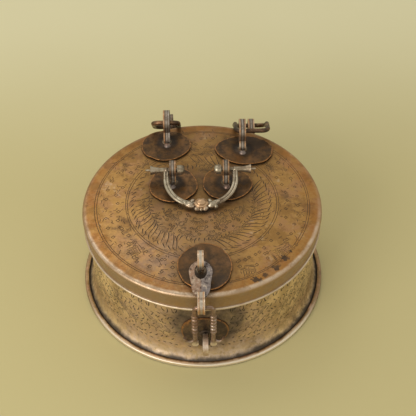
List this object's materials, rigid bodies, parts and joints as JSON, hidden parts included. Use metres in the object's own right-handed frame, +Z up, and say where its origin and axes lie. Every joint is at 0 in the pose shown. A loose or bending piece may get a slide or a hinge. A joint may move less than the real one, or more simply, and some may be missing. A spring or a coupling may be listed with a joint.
{
  "type": "paan box",
  "caption": "Round brass paan box with a deep engraved lid, ring-link hinges, drop handle and a linked hasp over a staple",
  "frame": {"origin": "middle of the flat underside", "axes": "+Z up, -Y towards the hasp, +X to the right seen from the hasp"},
  "size_m": [0.2214, 0.2486, 0.1192],
  "materials": {
    "brass_body": "hand beaten brass sheet, aged olive brown, chased, satin",
    "brass_base": "aged brass sheet, folded edge, satin",
    "brass_lid": "hand beaten brass sheet, warm brown gold, engraved, satin",
    "brass_dark_discs": "dark coppery brown tarnished brass, rubbed bright at the edge",
    "brass_straps": "forged brass strap, worn, satin",
    "brass_bright_straps": "forged brass strap, rubbed bright, semi polished",
    "brass_rings": "forged brass rod, worn",
    "white_brass": "cast white brass, rubbed silvery",
    "brass_hasp": "forged brass plate, coppery, rubbed",
    "brass_inside": "plain brass sheet inside, satin"
  },
  "bodies": {
    "base": {"body_wall": "brass_body", "base_plate": "brass_base", "front_body_disc": "brass_dark_discs", "rear_left_body_disc": "brass_dark_discs", "rear_right_body_disc": "brass_dark_discs", "front_body_eye": "brass_straps", "rear_left_body_eye": "brass_straps", "rear_right_body_eye": "brass_straps", "leaf_tray": "brass_inside", "centre_cup": "brass_inside", "outer_cup_1": "brass_inside", "outer_cup_2": "brass_inside", "outer_cup_3": "brass_inside", "outer_cup_4": "brass_inside", "outer_cup_5": "brass_inside", "outer_cup_6": "brass_inside"},
    "lid": {"lid_shell": "brass_lid", "rear_left_disc": "brass_dark_discs", "rear_right_disc": "brass_dark_discs", "mid_left_disc": "brass_dark_discs", "mid_right_disc": "brass_dark_discs", "front_lid_disc": "brass_dark_discs", "rear_left_eye": "brass_straps", "rear_right_eye": "brass_straps", "mid_left_eye": "brass_straps", "mid_right_eye": "brass_straps", "front_lid_eye": "brass_bright_straps"},
    "left_ring": {"rear_left_ring": "brass_rings"},
    "right_ring": {"rear_right_ring": "brass_rings"},
    "bail": {"bail_handle": "white_brass"},
    "hasp": {"hasp_plate": "brass_hasp", "hasp_knuckle": "brass_bright_straps"},
    "stirrup": {"hasp_stirrup": "white_brass"}
  },
  "joints": [
    {"name": "lid_hinge", "type": "hinge", "parent": "base", "child": "lid", "pos_m": [0, 0.118, 0.077], "axis": [-1, 0, 0], "range_deg": [0, 100]},
    {"name": "left_ring_swing", "type": "hinge", "parent": "base", "child": "left_ring", "pos_m": [-0.0327, 0.118, 0.077], "axis": [-1, 0, 0], "range_deg": [0, 100]},
    {"name": "right_ring_swing", "type": "hinge", "parent": "base", "child": "right_ring", "pos_m": [0.0475, 0.118, 0.077], "axis": [-1, 0, 0], "range_deg": [0, 100]},
    {"name": "bail_swing", "type": "hinge", "parent": "lid", "child": "bail", "pos_m": [-0.0007, 0.0266, 0.1066], "axis": [-1, 0, 0], "range_deg": [0, 150]},
    {"name": "hasp_swing", "type": "hinge", "parent": "lid", "child": "hasp", "pos_m": [-0.002, -0.08152, 0.10552], "axis": [-1, 0, 0], "range_deg": [0, 150]},
    {"name": "stirrup_swing", "type": "hinge", "parent": "hasp", "child": "stirrup", "pos_m": [0, -0.11606, 0.09075], "axis": [-1, 0, 0], "range_deg": [-5, 120]}
  ],
  "couplings": [
    {"joint": "left_ring_swing", "follows": "lid_hinge", "ratio": 1},
    {"joint": "right_ring_swing", "follows": "lid_hinge", "ratio": 1}
  ]
}
